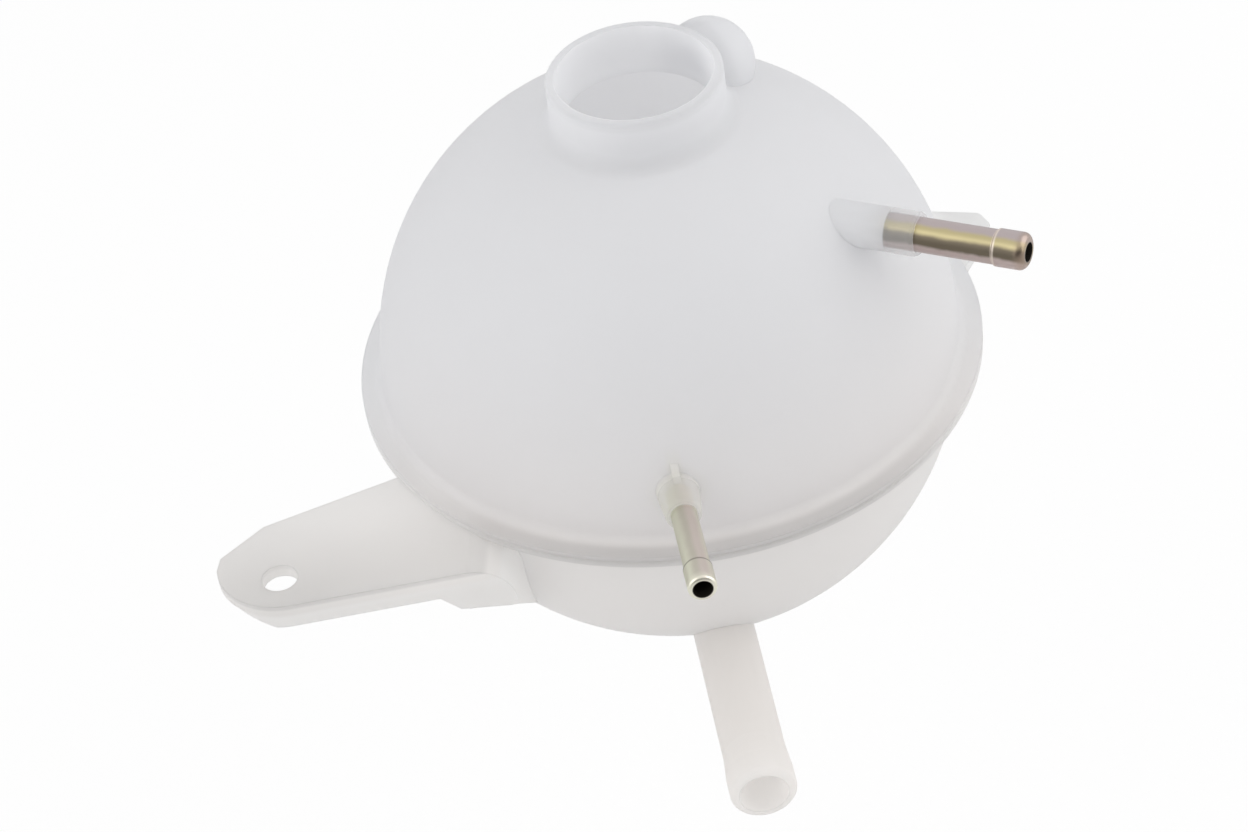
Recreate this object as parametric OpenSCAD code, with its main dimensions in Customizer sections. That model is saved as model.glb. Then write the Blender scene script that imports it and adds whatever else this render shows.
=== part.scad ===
// Coolant expansion tank: a ball moulded in two halves, welded together at a flange.
// All sizes are in millimetres. The origin is the centre of the filler neck's mouth,
// +Z runs up the neck and -Y runs out along the outlet pipe.

/* [Ball] */
// Outside diameter of the ball
ball_d = 174; // [160:1:190]
// Wall thickness of both halves
wall = 2.6; // [2:0.1:3.2]
// Drop of the lower half's sphere centre below the upper half's
bowl_drop = 4.7; // [4.6:0.1:6]

/* [Weld flange] */
// Distance that the flange stands out from the ball
flange_reach = 7; // [5:0.5:9]
// Thickness of the flange half on each shell
flange_half = 1.8; // [1.5:0.1:2.4]
// Depth of the weld plane below the upper sphere's centre
seam_drop = 4.4; // [3:0.1:4.5]
// Bevel along the weld line, on each half
seam_bevel = 0.5; // [0.2:0.1:0.8]
// Radius of the hollow between the ball and the flange
flange_fillet = 3; // [1.5:0.5:4]

/* [Filler neck] */
// Outside diameter of the neck
neck_d = 51; // [46:1:56]
// Wall thickness of the neck
neck_wall = 2.8; // [2.2:0.1:3.4]
// Height of the mouth above the ball's top
neck_rise = 10.5; // [8:0.5:15]
// Radius of the hollow at the foot of the neck
neck_fillet = 6; // [3:0.5:7]
// Rounding of the mouth's edge
mouth_round = 1; // [0.5:0.1:1.2]
// Width of the half-round stop lug inside the mouth
lug_width = 9; // [6:0.5:11]
// Height of the stop lug
lug_height = 5; // [3:0.5:7]
// Depth of the stop lug below the mouth
lug_drop = 3; // [2:0.5:5]

/* [Air blister] */
// Outside radius of the blister beside the neck
blister_r = 13.8; // [12:0.1:15]
// Distance of the blister's centre from the neck's outer face
blister_gap = 4.3; // [3:0.1:6]
// Direction of the blister, from +X towards +Y
blister_angle = 39; // [30:1:50]
// Depth of the blister's centre below the ball's top
blister_sink = 4.3; // [3:0.1:7]

/* [Right hose spigot] */
// Outside diameter of the tube
right_d = 10; // [9:0.1:10.4]
// Outside diameter of the hose bead
right_bead_d = 10.8; // [10.6:0.1:11.4]
// Bore of the tube
right_bore = 5.5; // [5:0.1:6.5]
// Outside diameter of the plastic sleeve
right_sleeve_d = 12.8; // [12.4:0.1:15]
// Direction of the tube in plan
right_angle = -34.5; // [-40:0.5:-30]
// Upward slope of the tube
right_slope = 3; // [0:0.5:5]
// Depth below the ball's top at which the tube's line crosses the neck's axis
right_drop = 31.8; // [30:0.1:35]
// Distance that the sleeve's end stays back from the ball's full radius
right_sleeve_back = 1.8; // [0:0.1:4]
// Length of tube held in the sleeve
right_socket = 10.2; // [7:0.1:13]
// Length of tube outside the sleeve
right_free = 32.4; // [28:0.1:36]

/* [Front hose spigot] */
// Outside diameter of the tube
front_d = 7.5; // [7:0.1:7.8]
// Outside diameter of the hose bead
front_bead_d = 8.2; // [8:0.1:8.8]
// Bore of the tube
front_bore = 5.5; // [5:0.1:5.8]
// Outside diameter of the plastic sleeve at its end
front_sleeve_d = 10.4; // [9.8:0.1:12]
// Outside diameter of the plastic sleeve at its root, inside the ball
front_root_d = 14; // [12:0.1:15]
// Sideways place of the tube
front_across = -9.6; // [-14:0.1:-6]
// Upward slope of the tube
front_slope = 5; // [3:0.5:7]
// Height at which the tube's line crosses the neck's axis, above the upper sphere's centre
front_up = 6.8; // [6:0.1:9]
// Distance that the sleeve's end stands out from the ball's full radius
front_sleeve_out = 10; // [8:0.1:13]
// Length of tube held in the sleeve
front_socket = 10; // [7:0.1:10.5]
// Length of tube outside the sleeve
front_free = 33.2; // [28:0.1:38]

/* [Hose beads] */
// Length of the bead, back from the tip
bead_length = 9; // [6:0.5:11]
// Rounding of the tip's outer edge, as a share of the tube's wall
tip_round = 0.8; // [0.5:0.05:0.9]

/* [Outlet pipe] */
// Outside diameter of the pipe
outlet_d = 18.4; // [17:0.1:20]
// Outside diameter of the swelling at the end
outlet_bead_d = 19.6; // [19:0.1:21]
// Bore of the pipe
outlet_bore = 14.4; // [13:0.1:15.2]
// Height of the pipe's axis above the ball's lowest point
outlet_rise = 27.3; // [24:0.1:31]
// Distance that the pipe stands out past the ball's full radius
outlet_reach = 44; // [33:0.5:53]
// Length of the swelling
outlet_bead_length = 16; // [10:1:20]

/* [Mounting ear] */
// Depth of the top of the ear and the tongue below the upper sphere's centre
plate_drop = 5.5; // [5:0.1:5.8]
// Thickness of the plates of the ear and the tongue
ear_plate = 3.4; // [2.6:0.1:4]
// Depth of the ear's skirt, from the top of the plate
ear_depth = 8; // [7:0.1:10]
// Thickness of the skirt and the rib
ear_wall = 2.6; // [2:0.1:3.2]
// Distance of the bolt hole out from the flange's rim
hole_out = 30.8; // [28:0.1:33]
// Distance of the bolt hole behind the ear's front wall
hole_back = 12.2; // [11:0.1:14]
// Diameter of the bolt hole
hole_d = 10.5; // [8.5:0.1:11]
// Outside diameter of the pad under the bolt hole
hole_pad_d = 17; // [15:0.5:18]
// Height of the pad below the plate
hole_pad = 0.8; // [0.4:0.1:1.2]
// Radius of the ear's round end
ear_end_r = 19.8; // [19:0.1:21]
// Distance of the ear's front wall back from the ball's full radius
ear_front_back = 6; // [4:0.5:7]

/* [Gusset] */
// Radius of the curl in which the ear's plate turns down beside the flange
gusset_round = 14; // [10:0.5:16]
// Distance of the gusset's upright face in from the ball's leftmost point
gusset_in = 28; // [24:0.5:32]
// Direction of the gusset in plan, from straight back towards the bowl
gusset_turn = 11; // [6:0.5:14]
// Extra depth of the front wall where it becomes the gusset
gusset_step = 5.4; // [3:0.1:6]
// Slope of the gusset's lower edge towards the bowl
gusset_fall = 44; // [36:1:46]

/* [Rear tongue] */
// Direction of the tongue in plan
tongue_angle = 18.5; // [14:0.5:22]
// Distance that the tongue stands out from the flange
tongue_reach = 17; // [10:0.5:20]
// Width of the tongue at its end
tongue_tip = 9.5; // [8:0.5:16]
// Width of the tongue where it leaves the flange
tongue_root = 33.5; // [28:0.5:40]
// Rounding of the tongue's corners
tongue_round = 2.5; // [1:0.5:3.5]

/* [Hidden] */
$fn = 96;
milky = [0.86, 0.86, 0.85, 0.85];
plated_yellow = [0.66, 0.52, 0.22];
plated_pale = [0.74, 0.68, 0.56];
ball_r = ball_d / 2;
inner_r = ball_r - wall;
flange_r = ball_r + flange_reach;
neck_r = neck_d / 2;
neck_bore_r = neck_r - neck_wall;
neck_top = ball_r + neck_rise;
flange_top = -seam_drop + flange_half;
plate_top = -plate_drop;
// Far enough to run past any face that a cut goes through
past = 1;
// Depth by which a hollow's circle cuts into the ball, so that the two cross cleanly
bite = 0.02;
// Small step that keeps two lower edges out of one plane
step = 0.1;

// Ends of the sleeves and tubes, along their own lines
right_sleeve_end = ball_r - right_sleeve_back;
right_start = right_sleeve_end - right_socket;
right_tip = right_sleeve_end + right_free;
front_sleeve_end = ball_r + front_sleeve_out;
front_start = front_sleeve_end - front_socket;
front_tip = front_sleeve_end + front_free;
outlet_end = ball_r + outlet_reach;

// Places of the ear's front wall and of the bolt hole
ear_front = ball_r - ear_front_back;
hole = [-flange_r - hole_out, hole_back - ear_front];
ear_skirt_low = plate_top - ear_depth;
// Centre of the ear's round end
ear_end = [hole.x + 2, ear_end_r - ear_front];
// Corners where the back of the round end is cut off at two angles
ear_corner_low = ear_end + ear_end_r * [-0.93, 0.25];
ear_corner_high = ear_end + ear_end_r * [-0.26, 0.77];
// Where the skirt starts on the ear's round end, and where it is at full depth
skirt_start = ear_end.x - 14.5;
skirt_full = ear_end.x - 5;

// The gusset: its upright face, the start of its curl, and its root inside the bowl
gusset_right = -ball_r + gusset_in;
curl_start = gusset_right - gusset_round;
gusset_run = inner_r * 0.45;
curl_root = [curl_start, -ear_front] + gusset_run * [sin(gusset_turn), cos(gusset_turn)];
// Where the front wall deepens, and how far its edge falls on the way to the gusset
gusset_left = -ball_r + 6.3;
front_wall_fall = 2;
gusset_low = ear_skirt_low - gusset_step - front_wall_fall;
// The back edge of the ear runs on to a point inside the bowl
ear_back_slope = 15;
ear_back_root = [
    curl_root.x,
    ear_corner_high.y + (curl_root.x - ear_corner_high.x) * tan(ear_back_slope),
];

// Point where a line from outside touches a circle, on the side away from the tongue's middle
function touch(from, centre, r) =
    let (way = from - centre, turn = atan2(way.y, way.x) - acos(r / norm(way)))
    centre + r * [cos(turn), sin(turn)];

// Moves what is drawn about the upper sphere's centre to the neck's mouth
module from_mouth() {
    translate([0, 0, -neck_top]) children();
}

// Lays what is drawn along +Z out along a spigot's line
module along_spigot(across, up, angle, slope) {
    translate([across, 0, up]) rotate([0, 90 - slope, angle]) children();
}

module along_right() {
    along_spigot(0, ball_r - right_drop, right_angle, right_slope) children();
}

module along_front() {
    along_spigot(front_across, front_up, -90, front_slope) children();
}

// Upright cylinder between two heights
module post(r, low, high) {
    translate([0, 0, low]) cylinder(r = r, h = high - low);
}

// Quarter of the ball's outline, beside its axis
module ball_quarter(r) {
    intersection() {
        circle(r);
        square(r);
    }
}

// Half of the weld flange in section, from the weld plane up
module flange_section() {
    polygon([
        [inner_r, 0],
        [flange_r - seam_bevel, 0],
        [flange_r, seam_bevel],
        [flange_r, flange_half],
        [inner_r, flange_half],
    ]);
}

// Fills the corner between the ball and the flange with a hollow
module flange_hollow() {
    centre_y = flange_top + flange_fillet;
    centre = [sqrt(pow(ball_r + flange_fillet - bite, 2) - pow(centre_y, 2)), centre_y];
    difference() {
        polygon([
            [inner_r, flange_top],
            [centre.x, flange_top],
            centre,
            centre * inner_r / (ball_r + flange_fillet),
        ]);
        translate(centre) circle(flange_fillet);
    }
}

// Neck with a rounded mouth and a hollow foot
module neck_section() {
    centre_x = neck_r + neck_fillet;
    centre = [centre_x, sqrt(pow(ball_r + neck_fillet - bite, 2) - pow(centre_x, 2))];
    square([neck_r, neck_top - mouth_round]);
    square([neck_r - mouth_round, neck_top]);
    translate([neck_r - mouth_round, neck_top - mouth_round]) circle(mouth_round);
    difference() {
        polygon([[0, 0], centre * inner_r / (ball_r + neck_fillet), centre, [0, centre.y]]);
        translate(centre) circle(neck_fillet);
    }
}

// The upper half without its blister and sleeves, filled
module dome_outside() {
    rotate_extrude() {
        ball_quarter(ball_r);
        translate([0, -seam_drop]) square([ball_r, seam_drop]);
        translate([0, -seam_drop]) flange_section();
        flange_hollow();
        neck_section();
    }
}

module dome_inside() {
    rotate_extrude() {
        ball_quarter(inner_r);
        translate([0, -seam_drop - past]) square([inner_r, seam_drop + past]);
        square([neck_bore_r, neck_top + past]);
    }
}

// The lower half without its ear, tongue and outlet, filled, drawn from the weld plane down
module bowl_outside() {
    translate([0, 0, -bowl_drop]) mirror([0, 0, 1]) rotate_extrude() {
        ball_quarter(ball_r);
        translate([0, seam_drop - bowl_drop]) square([ball_r, bowl_drop - seam_drop]);
        translate([0, seam_drop - bowl_drop]) flange_section();
    }
}

module bowl_inside() {
    translate([0, 0, -bowl_drop]) mirror([0, 0, 1]) rotate_extrude() {
        ball_quarter(inner_r);
        translate([0, -bowl_drop]) square([inner_r, bowl_drop]);
    }
}

module blister(r) {
    rotate([0, 0, blister_angle]) {
        translate([neck_r + blister_gap, 0, ball_r - blister_sink]) sphere(r);
    }
}

// Half-round lug on the front of the mouth's inner wall, which stops the cap
module stop_lug() {
    lug_top = neck_top - lug_drop;
    intersection() {
        translate([0, -neck_bore_r, 0]) post(lug_width / 2, lug_top - lug_height, lug_top);
        post(neck_bore_r + neck_wall / 2, lug_top - 2 * lug_height, neck_top);
    }
}

// Sleeve round a spigot, from inside the ball's wall to its end
module sleeve(root_d, d, start, end) {
    edge = 0.8;
    translate([0, 0, start]) cylinder(d1 = root_d, d2 = d, h = end - start - edge);
    translate([0, 0, end - edge]) cylinder(d1 = d, d2 = d - edge, h = edge);
}

// Small rib that runs out on top of the front sleeve
module front_rib() {
    rib = 2.4;
    along_front() translate([0, rib / 2, ball_r - 3]) rotate([90, 0, 0]) {
        linear_extrude(rib) polygon([[0, 0], [-front_root_d / 2 - rib, 0], [0, 6 * rib]]);
    }
}

module upper_shell() color(milky) from_mouth() union() {
    stop_lug();
    difference() {
        union() {
            dome_outside();
            blister(blister_r);
            along_right() sleeve(right_sleeve_d, right_sleeve_d, inner_r * 0.6, right_sleeve_end);
            along_front() sleeve(front_root_d, front_sleeve_d, inner_r * 0.9, front_sleeve_end);
            front_rib();
        }
        dome_inside();
        difference() {
            blister(blister_r - wall);
            post(neck_r, 0, neck_top + past);
        }
        along_right() post(right_bore / 2, inner_r * 0.5, right_start + past);
        along_right() post(right_d / 2, right_start, right_tip);
        along_front() post(front_bore / 2, inner_r * 0.8, front_start + past);
        along_front() post(front_d / 2, front_start, front_tip);
    }
}

// Skirt under the plate's back edge
module ear_back_wall() {
    span = ear_corner_high - ear_back_root;
    inward = [-span.y, span.x] * ear_wall / norm(span);
    translate([0, 0, ear_skirt_low]) linear_extrude(ear_depth - ear_plate) polygon([
        ear_back_root,
        ear_corner_high,
        ear_corner_high + inward,
        ear_back_root + inward,
    ]);
}

module ear_plan() {
    translate(ear_end) intersection() {
        circle(ear_end_r);
        translate([-ear_end_r, -ear_end_r]) square(ear_end_r);
    }
    polygon([
        [ear_end.x, -ear_front],
        [curl_start + past, -ear_front],
        [curl_root.x + past, curl_root.y],
        ear_back_root,
        ear_corner_high,
        ear_corner_low,
        [ear_end.x - ear_end_r, ear_end.y],
        ear_end,
    ]);
}

// Curved part of the skirt, which runs out on the ear's round end
module ear_end_wall() {
    intersection() {
        translate(ear_end) difference() {
            post(ear_end_r, ear_skirt_low, plate_top);
            post(ear_end_r - ear_wall, ear_skirt_low - past, plate_top + past);
        }
        translate([0, ear_end.y, 0]) rotate([90, 0, 0]) linear_extrude(ear_end_r) polygon([
            [skirt_start, plate_top - ear_plate],
            [skirt_full, ear_skirt_low],
            [ear_end.x, ear_skirt_low],
            [ear_end.x, plate_top - ear_plate],
        ]);
    }
}

// Front wall of the ear, which deepens towards the gusset and ends in its curl
module ear_front_wall() {
    // The wall ends halfway through the curled sheet
    end_r = gusset_round - ear_plate / 2;
    curl_low = plate_top - gusset_round;
    translate([0, ear_wall - ear_front, 0]) rotate([90, 0, 0]) linear_extrude(ear_wall) {
        polygon([
            [ear_end.x, plate_top],
            [ear_end.x, ear_skirt_low],
            [gusset_left, ear_skirt_low],
            [gusset_left + gusset_step, ear_skirt_low - gusset_step],
            [curl_start + end_r, gusset_low - step],
            [curl_start + end_r, curl_low],
            [curl_start, plate_top],
        ]);
        translate([curl_start, curl_low]) ball_quarter(end_r);
    }
}

// The plate curls down beside the flange and runs on as an upright web to the bowl. The
// curl starts inside the plate's edge, so that the two join as one
module gusset() {
    curl_low = plate_top - gusset_round;
    intersection() {
        translate([curl_start, -ear_front, 0]) rotate([0, 0, -gusset_turn]) {
            translate([0, gusset_run, curl_low]) rotate([90, 0, 0]) {
                linear_extrude(gusset_run + gusset_round) difference() {
                    ball_quarter(gusset_round);
                    circle(gusset_round - ear_plate);
                    square([past / 2, gusset_round]);
                }
            }
            translate([gusset_round - ear_plate, 0, 0]) rotate([90, 0, 90]) {
                linear_extrude(ear_plate) polygon([
                    [-gusset_round, curl_low],
                    [-gusset_round, gusset_low],
                    [ear_wall, gusset_low],
                    [gusset_run, gusset_low - (gusset_run - ear_wall) * tan(gusset_fall)],
                    [gusset_run, curl_low],
                ]);
            }
        }
        translate([-flange_r, -ear_front, -ball_r]) cube([flange_r, ear_front, ball_r]);
    }
}

// Stiffening rib under the plate, from beside the bolt hole to the bowl
module ear_rib() {
    translate([hole.x + hole_pad_d / 2, hole.y + hole_pad_d / 2 - ear_wall, ear_skirt_low]) {
        cube([-hole.x - hole_pad_d / 2 - inner_r * 0.6, ear_wall, ear_depth - ear_plate]);
    }
}

module mounting_ear() {
    translate([0, 0, plate_top - ear_plate]) linear_extrude(ear_plate) ear_plan();
    ear_end_wall();
    ear_front_wall();
    gusset();
    ear_back_wall();
    translate(hole) post(hole_pad_d / 2, plate_top - ear_plate - hole_pad, plate_top);
    ear_rib();
}

module tongue() {
    corner = [flange_r + tongue_reach - tongue_round, tongue_tip / 2 - tongue_round];
    root = [flange_r, tongue_root / 2];
    side = touch(root, corner, tongue_round);
    rotate([0, 0, tongue_angle]) translate([0, 0, plate_top - ear_plate]) {
        linear_extrude(ear_plate) {
            polygon([
                [inner_r, -root.y],
                [root.x, -root.y],
                [side.x, -side.y],
                [corner.x, -corner.y],
                [corner.x + tongue_round, -corner.y],
                corner + [tongue_round, 0],
                corner,
                side,
                root,
                [inner_r, root.y],
            ]);
            translate([corner.x, -corner.y]) circle(tongue_round);
            translate(corner) circle(tongue_round);
        }
    }
}

// Pipe drawn along +Z, with a gentle swelling at its end
module outlet_outside() {
    bead_r = outlet_bead_d / 2;
    round_r = (bead_r - outlet_bore / 2) * 0.7;
    rotate_extrude() {
        polygon([
            [0, 0],
            [outlet_d / 2, 0],
            [outlet_d / 2, outlet_end - outlet_bead_length],
            [bead_r, outlet_end - outlet_bead_length / 2],
            [bead_r, outlet_end - round_r],
            [0, outlet_end - round_r],
        ]);
        square([bead_r - round_r, outlet_end]);
        translate([bead_r - round_r, outlet_end - round_r]) circle(round_r);
    }
}

module along_outlet() {
    translate([0, 0, outlet_rise - bowl_drop - ball_r]) rotate([90, 0, 0]) children();
}

module lower_shell() color(milky) from_mouth() {
    difference() {
        union() {
            bowl_outside();
            mounting_ear();
            tongue();
            along_outlet() outlet_outside();
        }
        bowl_inside();
        along_outlet() post(outlet_bore / 2, 0, outlet_end + past);
        translate(hole) post(hole_d / 2, ear_skirt_low - past, plate_top + past);
    }
}

// Steel tube with a hose bead, drawn along +Z
module spigot_tube(d, bead_d, bore, start, tip) {
    round_r = (bead_d - bore) / 2 * tip_round;
    shoulder = tip - bead_length;
    rotate_extrude() difference() {
        union() {
            translate([0, start]) square([d / 2, tip - round_r - start]);
            polygon([
                [0, shoulder - (bead_d - d) / 2],
                [d / 2, shoulder - (bead_d - d) / 2],
                [bead_d / 2, shoulder],
                [bead_d / 2, tip - round_r],
                [0, tip - round_r],
            ]);
            translate([0, tip - 2 * round_r]) square([bead_d / 2 - round_r, 2 * round_r]);
            translate([bead_d / 2 - round_r, tip - round_r]) circle(round_r);
        }
        translate([-past, start - past]) square([bore / 2 + past, tip - start + 2 * past]);
    }
}

module right_hose_spigot() color(plated_yellow) from_mouth() along_right() {
    spigot_tube(right_d, right_bead_d, right_bore, right_start, right_tip);
}

module front_hose_spigot() color(plated_pale) from_mouth() along_front() {
    spigot_tube(front_d, front_bead_d, front_bore, front_start, front_tip);
}

upper_shell();
lower_shell();
right_hose_spigot();
front_hose_spigot();
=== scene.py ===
import math

import bpy
from mathutils import Matrix, Vector


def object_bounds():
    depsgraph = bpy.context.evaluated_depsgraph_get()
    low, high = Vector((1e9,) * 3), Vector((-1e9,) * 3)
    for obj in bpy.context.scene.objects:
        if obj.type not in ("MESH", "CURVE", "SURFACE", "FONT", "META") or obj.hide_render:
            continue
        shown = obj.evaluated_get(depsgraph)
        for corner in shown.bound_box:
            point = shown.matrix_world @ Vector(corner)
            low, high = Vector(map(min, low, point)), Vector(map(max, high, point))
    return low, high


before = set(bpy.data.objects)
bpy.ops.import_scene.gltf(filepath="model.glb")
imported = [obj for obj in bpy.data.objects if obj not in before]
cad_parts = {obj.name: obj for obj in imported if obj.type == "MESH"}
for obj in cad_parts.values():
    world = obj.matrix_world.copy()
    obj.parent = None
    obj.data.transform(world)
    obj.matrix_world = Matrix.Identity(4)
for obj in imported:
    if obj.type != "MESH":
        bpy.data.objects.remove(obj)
cad_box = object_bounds()

MM = 0.001

# The tank, in the CAD frame: the origin is the centre of the neck's mouth
DOME_CENTRE = Vector((0, 0, -97.5)) * MM
BOWL_CENTRE = Vector((0, 0, -102.2)) * MM
BALL_R = 87 * MM
INNER_R = 84.4 * MM
SEAM_Z = -101.9 * MM
FLANGE_R = 94 * MM
MOUTH_R = 22.7 * MM
NECK_R = 25.5 * MM
NECK_FOOT_Z = -12.5 * MM
FRONT_TUBE_LEFT = 9.6 * MM
BORE_R = 2.75 * MM

# The camera of the photograph, worked out from the ball's outline and the neck's rings.
# The focal length, and where the dome's centre lies from the middle of the picture, are in
# pixels, and the angles in degrees.
PHOTO_WIDTH = 1248
PHOTO_FOCAL = 3396.6
PHOTO_DOME = (44.812, -80.254)
CAMERA_AWAY = 11.765 * BALL_R
CAMERA_LEAN = 40.782
CAMERA_ROLL = -8.41
CAMERA_TURN = 3.05
SENSOR_WIDTH = 36
CLIP_END = 20

# Circles round the neck's axis that masks are measured from, by radius and height
CIRCLES = {
    "off_rim": (NECK_R, -1 * MM),
    "off_foot": (NECK_R + 3 * MM, NECK_FOOT_Z),
    "off_weld": (FLANGE_R, SEAM_Z),
    "off_under": (BALL_R + 0.5 * MM, SEAM_Z - 3 * MM),
}

# Places on the plastic. Each is the product of its soft edges, and an edge is 0 at the first
# length and 1 at the second, along one of the ways that Plastic names.
FRONT_HALF = ("front", -30 * MM, 40 * MM)
PLACES = {
    "low_front": (("front", -20 * MM, 80 * MM), ("height", -30 * MM, -130 * MM)),
    "neck": (("height", -17 * MM, -8 * MM), ("out", 32 * MM, 28 * MM)),
    "rim": (("off_rim", 2.4 * MM, 0.72 * MM), FRONT_HALF),
    "lip": (("height", -1.6 * MM, -0.6 * MM),),
    "foot": (("off_foot", 4 * MM, 1.2 * MM), FRONT_HALF),
    "flange_front": (
        ("out", BALL_R + 1 * MM, BALL_R + 4 * MM),
        ("height", SEAM_Z - 3 * MM, SEAM_Z - 2 * MM),
        ("height", SEAM_Z + 3 * MM, SEAM_Z + 2 * MM),
        ("front", 45 * MM, 90 * MM),
    ),
    "weld": (("off_weld", 1.8 * MM, 0.54 * MM),),
    "under": (("off_under", 4 * MM, 1.2 * MM), FRONT_HALF),
    "ear_end": (("out", 105 * MM, 150 * MM), ("left", 80 * MM, 90 * MM)),
    "tongue": (("right", 90 * MM, 96 * MM),),
    "inside": (("from_centre", INNER_R + 0.5 * MM, INNER_R + 0.1 * MM),),
    "mouth": (
        ("out", MOUTH_R + 0.5 * MM, MOUTH_R + 0.1 * MM),
        ("height", -17 * MM, -13 * MM),
    ),
    "curl": (("left", 50 * MM, 60 * MM), ("height", -106 * MM, -108 * MM)),
    "outlet": (("front", 50 * MM, 75 * MM), ("height", -147 * MM, -151 * MM)),
    "front_sleeve": (("along_tube", 83 * MM, 88 * MM), ("off_tube", 10.5 * MM, 6.8 * MM)),
    "sleeve_right": (("right", -11.5 * MM, -6.5 * MM),),
    "rib": (
        ("off_rib", 2.8 * MM, 1.2 * MM),
        ("height", -86 * MM, -83 * MM),
        ("height", -68 * MM, -76 * MM),
        ("front", 50 * MM, 60 * MM),
    ),
    "weld_face": (
        ("height", SEAM_Z - 0.1 * MM, SEAM_Z - 0.05 * MM),
        ("height", SEAM_Z + 0.1 * MM, SEAM_Z + 0.05 * MM),
        ("out", FLANGE_R - 0.5 * MM, FLANGE_R - 0.9 * MM),
    ),
}

# Where the walls are thick or lie in each other's shade, they are darker by these shares
SHADES = {
    "neck": 0.08,
    "rim": 0.12,
    "lip": 0.06,
    "foot": 0.2,
    "flange_front": 0.3,
    "weld": 0.1,
    "under": 0.2,
    "ear_end": 0.14,
    "tongue": 0.1,
}

# Share of the light that goes on through a wall of the plastic, and where it is more
THROUGH = 0.52
THROUGH_GAINS = {"outlet": 0.08, "curl": 0.2, "inside": 0.24}
NECK_GAIN = 0.1

# How far places take a tint: the curl takes a painted light, the front sleeve and its rib the
# plating that shows through them, the bead's shoulder a painted shading, and the tube's tip a
# tint of its own
CURL_LIGHT_SHARE = 0.7
SLEEVE_SHARE = 0.8
SLEEVE_FADE = 0.4
RIB_SHARE = 0.5
SHOULDER_SHADING_SHARE = 0.7
NOSE_SHARE = 0.6

# The tank hangs by its ear, so the floor lies well below it
FLOOR_SIZE = 8
FLOOR_BACK = 1.0
FLOOR_DROP = 0.12
FLOOR_GLOW = 0.93

# The lamps, by name, place in metres and power in watts
SOFTBOXES = (
    ("left_softbox", (-0.9, -0.3, 0.5), 3.8),
    ("right_softbox", (0.9, -0.1, 0.4), 4.4),
)
SOFTBOX_SIZE = (1.2, 1.1)
SOFTBOX_AIM = (0, 0, -0.09)

# The world's light, and the edges of its dark patch by the parts of a direction
WORLD_LIGHT = 0.74
PATCH_FRONT = (0.35, 0.6)
PATCH_TOP = (0.8, 0.55)
PATCH_FOOT = (-0.1, 0.1)
PATCH_SHARE = 0.8


def photo_camera():
    lean, roll, turn = map(math.radians, (CAMERA_LEAN, CAMERA_ROLL, CAMERA_TURN))
    forward = Vector((0, math.cos(lean), -math.sin(lean)))
    right = Vector((1, 0, 0))
    down = -right.cross(forward)
    right, down = (
        math.cos(roll) * right - math.sin(roll) * down,
        math.sin(roll) * right + math.cos(roll) * down,
    )
    offset = Vector((*PHOTO_DOME, PHOTO_FOCAL)) * CAMERA_AWAY / PHOTO_FOCAL
    pose = Matrix((right, -down, -forward)).transposed().to_4x4()
    pose.translation = -(right * offset.x + down * offset.y + forward * offset.z)
    data = bpy.data.cameras.new("photo_camera")
    data.sensor_fit = "HORIZONTAL"
    data.sensor_width = SENSOR_WIDTH
    data.lens = SENSOR_WIDTH * PHOTO_FOCAL / PHOTO_WIDTH
    data.clip_end = CLIP_END
    camera = bpy.data.objects.new("photo_camera", data)
    camera.matrix_world = (
        Matrix.Translation(DOME_CENTRE) @ Matrix.Rotation(-turn, 4, "Z") @ pose
    )
    bpy.context.collection.objects.link(camera)
    bpy.context.scene.camera = camera


# Shader maths written as expressions

class Sock:
    """A socket whose arithmetic adds Math nodes to its tree."""

    def __init__(self, nodes, socket):
        self.nodes = nodes
        self.socket = socket

    def _math(self, operation, *values):
        return self.nodes.add("Math", {"operation": operation}, *values)

    def __add__(self, other):
        return self._math("ADD", self, other)

    def __radd__(self, other):
        return self._math("ADD", other, self)

    def __sub__(self, other):
        return self._math("SUBTRACT", self, other)

    def __rsub__(self, other):
        return self._math("SUBTRACT", other, self)

    def __mul__(self, other):
        return self._math("MULTIPLY", self, other)

    def __rmul__(self, other):
        return self._math("MULTIPLY", other, self)

    def __pow__(self, other):
        return self._math("POWER", self, other)


def edge(value, start, full):
    """0 at start, 1 at full, and smooth between, whichever of them is more."""
    low, high = sorted((start, full))
    rise = value.nodes.add(
        "MapRange",
        {"interpolation_type": "SMOOTHSTEP"},
        {"Value": value, "From Min": low, "From Max": high},
    )
    return rise if start < full else 1 - rise


def colour(red, green, blue):
    return (red, green, blue, 1.0)


class Nodes:
    """A node tree and the nodes that are added to it."""

    def __init__(self, tree):
        self.tree = tree

    def feed(self, target, value):
        if isinstance(value, Sock):
            self.tree.links.new(value.socket, target)
        else:
            target.default_value = value

    def add(self, kind, settings, *values, output=0):
        node = self.tree.nodes.new("ShaderNode" + kind)
        for key, value in settings.items():
            setattr(node, key, value)
        for index, value in enumerate(values):
            named = value if isinstance(value, dict) else {index: value}
            for key, item in named.items():
                self.feed(node.inputs[key], item)
        return Sock(self, node.outputs[output])

    def place(self):
        return self.add("TexCoord", {}, output="Object")

    def along(self, axis, place=None):
        return self.add("SeparateXYZ", {}, place or self.place(), output=axis)


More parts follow.
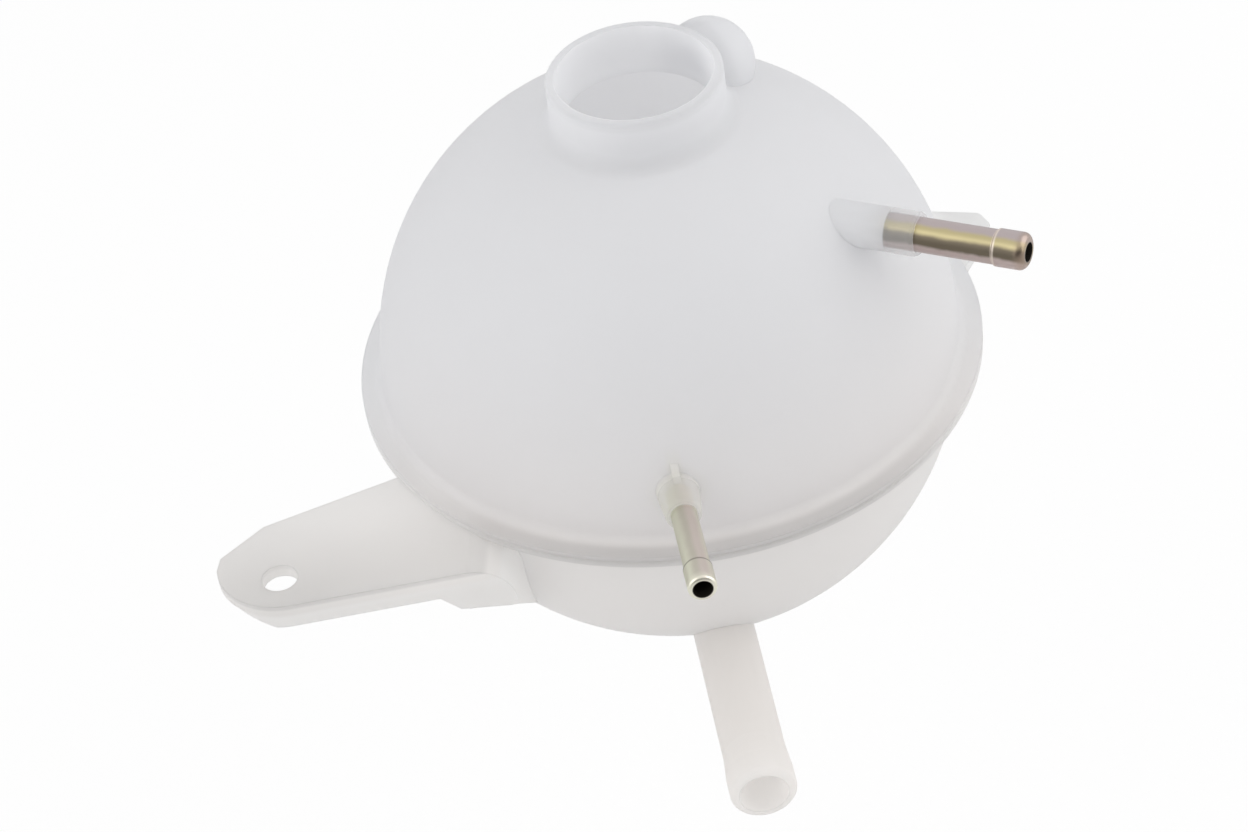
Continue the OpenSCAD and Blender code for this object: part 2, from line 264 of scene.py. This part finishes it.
class Finish(Nodes):
    """A material and its nodes."""

    def __init__(self, name):
        self.material = bpy.data.materials.new(name)
        self.material.use_nodes = True
        super().__init__(self.material.node_tree)
        self.tree.nodes.clear()
        self.shader = self.tree.nodes.new("ShaderNodeBsdfPrincipled")
        self.surface = self.tree.nodes.new("ShaderNodeOutputMaterial").inputs["Surface"]
        self.tree.links.new(self.shader.outputs["BSDF"], self.surface)

    def distance(self, point):
        return self.add(
            "VectorMath", {"operation": "DISTANCE"}, self.place(), tuple(point), output="Value"
        )

    def from_point(self, point):
        return self.add("VectorMath", {"operation": "SUBTRACT"}, self.place(), tuple(point))

    def dot(self, way, line):
        return self.add(
            "VectorMath", {"operation": "DOT_PRODUCT"}, way, tuple(line), output="Value"
        )

    def from_axis(self):
        """Distance from the neck's axis."""
        return (self.along("X") ** 2 + self.along("Y") ** 2) ** 0.5

    def off_circle(self, radius, height):
        """Distance from a circle round the neck's axis."""
        across, up = self.from_axis() - radius, self.along("Z") - height
        return (across * across + up * up) ** 0.5

    def noise(self, size, detail):
        return self.add(
            "TexNoise", {}, {"Vector": self.place(), "Scale": 1 / size, "Detail": detail}
        )

    def blend(self, factor, first, second):
        return self.add(
            "Mix", {"data_type": "RGBA"}, {"Factor": factor, 6: first, 7: second}, output=2
        )

    def dim(self, tone, share):
        return self.add("VectorMath", {"operation": "SCALE"}, {0: tone, "Scale": share})

    def bump(self, height, strength, depth, **normal):
        return self.add(
            "Bump", {}, {"Height": height, "Strength": strength, "Distance": depth, **normal}
        )

    def lay(self, factor, second):
        """Lay a second shader over the first, by a factor."""
        first = Sock(self, self.surface.links[0].from_socket)
        self.feed(self.surface, self.add("MixShader", {}, factor, first, second))

    def set(self, **values):
        for key, value in values.items():
            self.feed(self.shader.inputs[key.replace("_", " ")], value)


class Tube:
    """A metal tube along a line, whose start is given from the dome's centre.

    Its lengths are from that start. Its nose is the tint of the tip beyond the bead, and its
    colour on the bead's shoulder is painted shading: a painted shade on the front tube and a
    painted highlight on the right tube.
    """

    def __init__(
        self, across, up, turn, slope, radius, sleeve_r, inner_end, sleeve_end, bead, ring, nose
    ):
        turn, slope = math.radians(turn), math.radians(slope)
        self.start = DOME_CENTRE + Vector((across, 0, up))
        self.line = Vector((
            math.cos(slope) * math.cos(turn), math.cos(slope) * math.sin(turn), math.sin(slope)
        ))
        self.radius = radius
        self.sleeve_r = sleeve_r
        self.inner_end = inner_end
        self.sleeve_end = sleeve_end
        self.bead = bead
        self.ring = ring
        self.nose = nose

    def seat(self, finish):
        """Distances of a point along the tube's line and away from it."""
        way = finish.from_point(self.start)
        along = finish.dot(way, self.line)
        length = finish.add("VectorMath", {"operation": "LENGTH"}, way, output="Value")
        return along, (length * length - along * along) ** 0.5


RIGHT_TUBE = Tube(
    across=0, up=55.2 * MM, turn=-34.5, slope=3,
    radius=5 * MM, sleeve_r=6.8 * MM,
    inner_end=76.4 * MM, sleeve_end=85.2 * MM, bead=108.6 * MM,
    ring=colour(0.75, 0.66, 0.58), nose=colour(0.36, 0.27, 0.21),
)
FRONT_TUBE = Tube(
    across=-FRONT_TUBE_LEFT, up=6.8 * MM, turn=-90, slope=5,
    radius=3.75 * MM, sleeve_r=6.8 * MM,
    inner_end=87 * MM, sleeve_end=97 * MM, bead=121.2 * MM,
    ring=colour(0.22, 0.2, 0.17), nose=colour(0.82, 0.8, 0.68),
)


class Plastic(Finish):
    """A finish with the ways that its places are measured along, and a mask for each place."""

    def __init__(self, name, centre):
        super().__init__(name)
        right = self.along("X")
        left = 0.0 - right
        along_tube, off_tube = FRONT_TUBE.seat(self)
        self.ways = {
            "right": right,
            "left": left,
            "front": 0.0 - self.along("Y"),
            "height": self.along("Z"),
            "out": self.from_axis(),
            "from_centre": self.distance(centre),
            "along_tube": along_tube,
            "off_tube": off_tube,
            "off_rib": ((left - FRONT_TUBE_LEFT) ** 2) ** 0.5,
        }
        for way, circle in CIRCLES.items():
            self.ways[way] = self.off_circle(*circle)
        self.masks = {place: self.mask(edges) for place, edges in PLACES.items()}

    def mask(self, edges):
        first, *others = (edge(self.ways[way], start, full) for way, start, full in edges)
        return math.prod(others, start=first)


def milky_plastic(name, centre, tint, deep, warm_and_shaded, through_tint):
    """Natural polypropylene: milky, satin, and lit from behind as much as from in front."""
    plastic = Plastic(name, centre)
    mask = plastic.masks
    tone = plastic.blend(plastic.noise(size=45 * MM, detail=3), tint, deep)
    # Painted shade with a warm tint: the low front, which faces down and away from the lamps,
    # is coloured warmer and darker
    tone = plastic.blend(mask["low_front"], tone, warm_and_shaded)
    shade = 1
    for place, share in SHADES.items():
        shade = shade - share * mask[place]
    tone = plastic.dim(tone, shade)
    # Painted light: the inside and the mouth are coloured near white, so that they look as
    # light as the outside, where light comes in through all the walls
    tone = plastic.blend(mask["inside"], tone, colour(0.99, 0.99, 0.995))
    tone = plastic.blend(mask["mouth"], tone, colour(0.985, 0.99, 0.995))
    # Painted light: the gusset's curl lies in the shade of its close walls, so its colour is
    # made lighter there
    tone = plastic.blend(mask["curl"] * CURL_LIGHT_SHARE, tone, colour(0.98, 0.975, 0.97))
    # Plating that shows through the front sleeve and the small rib on it tints them
    stain = mask["front_sleeve"] * (SLEEVE_SHARE - SLEEVE_FADE * mask["sleeve_right"])
    stain = stain + RIB_SHARE * mask["rib"] * (1 - stain)
    tone = plastic.blend(stain, tone, colour(0.83, 0.81, 0.71))
    relief = plastic.noise(size=11 * MM, detail=2)
    relief = relief + 0.12 * plastic.noise(size=1.1 * MM, detail=3)
    soft_edge = plastic.add("Bevel", {"samples": 4}, {"Radius": 1 * MM})
    plastic.set(
        Base_Color=tone,
        Roughness=0.4 + 0.1 * plastic.noise(size=20 * MM, detail=4),
        IOR=1.49,
        Specular_IOR_Level=0.35,
        Normal=plastic.bump(relief, strength=0.2, depth=0.4 * MM, Normal=soft_edge),
    )
    through = THROUGH
    for place, gain in THROUGH_GAINS.items():
        through = through + gain * mask[place]
    through = through + NECK_GAIN * (mask["neck"] + mask["mouth"])
    plastic.lay(through, plastic.add("BsdfTranslucent", {}, {"Color": through_tint}))
    return plastic


def clear(plastic, share):
    plastic.lay(share, plastic.add("BsdfTransparent", {}))


def clear_weld(plastic):
    """The halves are one at the weld, so their flat faces there don't show."""
    clear(plastic, plastic.masks["weld_face"])


def clear_sleeve(plastic, tube, share):
    """The sheathed end of a tube shows faintly through its sleeve."""
    along, away = tube.seat(plastic)
    sheath = edge(along, tube.inner_end - 0.2 * MM, tube.inner_end + 0.4 * MM)
    sheath = sheath * edge(along, tube.sleeve_end + 0.2 * MM, tube.sleeve_end)
    sheath = sheath * edge(away, tube.sleeve_r + 0.5 * MM, tube.sleeve_r)
    socket = edge(away, tube.radius + 0.3 * MM, tube.radius + 0.1 * MM)
    clear(plastic, sheath * (share + (1 - share) * socket))


def plated_steel(name, tube, side, first, *tint_and_reflection_bands):
    """Zinc plating, with bands of colour across the tube from its side -1 to its side 1: partly
    the plating's own tints, and partly painted reflections, the darker bands standing for dark
    surroundings.
    """
    steel = Finish(name)
    side = (side - tube.line * side.dot(tube.line)).normalized()
    across = steel.dot(steel.from_point(tube.start), side / tube.radius)
    across = across + 0.24 * (steel.noise(size=6 * MM, detail=3) - 0.5)
    tone = first
    for start, full, tint in tint_and_reflection_bands:
        tone = steel.blend(edge(across, start, full), tone, tint)
    along, away = tube.seat(steel)
    # Painted shading on the bead's shoulder: a shade on one tube and a highlight on the other
    ring = edge(along, tube.bead - 0.8 * MM, tube.bead - 0.3 * MM)
    ring = ring * edge(along, tube.bead + 0.7 * MM, tube.bead + 0.3 * MM)
    tone = steel.blend(ring * SHOULDER_SHADING_SHARE, tone, tube.ring)
    nose = edge(along, tube.bead + 5.5 * MM, tube.bead + 8.5 * MM)
    tone = steel.blend(nose * NOSE_SHARE, tone, tube.nose)
    # Painted shade: the bore is coloured near black and not metallic, standing in for the shade
    # inside the hole
    bore_shade = edge(away, BORE_R + 0.25 * MM, BORE_R + 0.05 * MM)
    tone = steel.blend(bore_shade, tone, colour(0.02, 0.017, 0.013))
    steel.set(
        Base_Color=tone,
        Metallic=1 - bore_shade,
        Roughness=0.3 + 0.14 * steel.noise(size=1.5 * MM, detail=3),
        Normal=steel.bump(steel.noise(size=0.6 * MM, detail=2), strength=0.1, depth=0.1 * MM),
    )
    return steel


def paint(node, finish):
    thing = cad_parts[node]
    thing.data.materials.clear()
    thing.data.materials.append(finish.material)


# Each plastic's warm colour is a warm tint with painted shade, for its low front
upper = milky_plastic(
    "upper_plastic", DOME_CENTRE,
    tint=colour(0.895, 0.9, 0.912),
    deep=colour(0.87, 0.875, 0.888),
    warm_and_shaded=colour(0.905, 0.852, 0.81),
    through_tint=colour(0.875, 0.875, 0.885),
)
lower = milky_plastic(
    "lower_plastic", BOWL_CENTRE,
    tint=colour(0.965, 0.965, 0.965),
    deep=colour(0.945, 0.945, 0.945),
    warm_and_shaded=colour(0.9, 0.868, 0.843),
    through_tint=colour(0.93, 0.927, 0.922),
)
clear_weld(upper)
clear_weld(lower)
clear_sleeve(upper, RIGHT_TUBE, share=0.6)
clear_sleeve(upper, FRONT_TUBE, share=0.3)
# Painted reflection: the darker bands across each tube stand for dark surroundings that it
# reflects; the other bands are its plating's own tints
yellow = plated_steel(
    "yellow_plating", RIGHT_TUBE, Vector((0.43, 0.56, 0.71)),
    colour(0.52, 0.43, 0.41),
    (-0.8, -0.6, colour(0.16, 0.135, 0.1)),
    (-0.25, 0.1, colour(0.5, 0.435, 0.25)),
    (0.3, 0.6, colour(0.46, 0.4, 0.4)),
)
pale = plated_steel(
    "pale_plating", FRONT_TUBE, Vector((1, 0, 0)),
    colour(0.66, 0.66, 0.54),
    (-0.8, -0.2, colour(0.56, 0.53, 0.45)),
    (-0.2, 0.3, colour(0.65, 0.58, 0.53)),
    (0.5, 0.9, colour(0.7, 0.67, 0.58)),
)
paint("upper_shell", upper)
paint("lower_shell", lower)
paint("right_hose_spigot", yellow)
paint("front_hose_spigot", pale)


# Floor, lights and world

def floor_finish():
    floor = Finish("pale_floor")
    floor.set(Base_Color=colour(0.9, 0.9, 0.9), Roughness=0.9)
    seen = floor.add("LightPath", {}, output="Is Camera Ray")
    floor.lay(FLOOR_GLOW * seen, floor.add("Emission", {}))
    return floor.material


def build_floor():
    bpy.ops.object.select_all(action="DESELECT")
    bpy.ops.mesh.primitive_plane_add(
        size=FLOOR_SIZE, location=(0, FLOOR_BACK, cad_box[0][2] - FLOOR_DROP)
    )
    plane = bpy.context.active_object
    plane.name = "floor"
    plane.data.materials.append(floor_finish())


def light_world():
    """Even light, with a dark patch behind the camera that only gloss shows."""
    world = bpy.data.worlds.new("studio")
    world.use_nodes = True
    bpy.context.scene.world = world
    sky = Nodes(world.node_tree)
    background = sky.tree.nodes["Background"]
    seen, glossy, through = (
        sky.add("LightPath", {}, output=ray)
        for ray in ("Is Camera Ray", "Is Glossy Ray", "Is Transmission Ray")
    )
    way = sky.add("TexCoord", {}, output="Generated")
    back, height = sky.along("Y", way), sky.along("Z", way)
    dark = edge(0.0 - back, *PATCH_FRONT) * edge(height, *PATCH_TOP)
    dark = dark * edge(height, *PATCH_FOOT)
    strength = WORLD_LIGHT + (1 - WORLD_LIGHT) * (seen + glossy + through)
    background.inputs["Color"].default_value = colour(1, 1, 1)
    sky.feed(background.inputs["Strength"], strength * (1 - PATCH_SHARE * glossy * dark))


def area_light(name, place, power):
    data = bpy.data.lights.new(name, "AREA")
    data.shape = "RECTANGLE"
    data.size, data.size_y = SOFTBOX_SIZE
    data.energy = power
    lamp = bpy.data.objects.new(name, data)
    lamp.location = place
    aim = Vector(SOFTBOX_AIM) - Vector(place)
    lamp.rotation_euler = aim.to_track_quat("-Z", "Y").to_euler()
    bpy.context.collection.objects.link(lamp)


build_floor()
light_world()
for softbox in SOFTBOXES:
    area_light(*softbox)
photo_camera()
bpy.context.scene.view_settings.view_transform = "Standard"
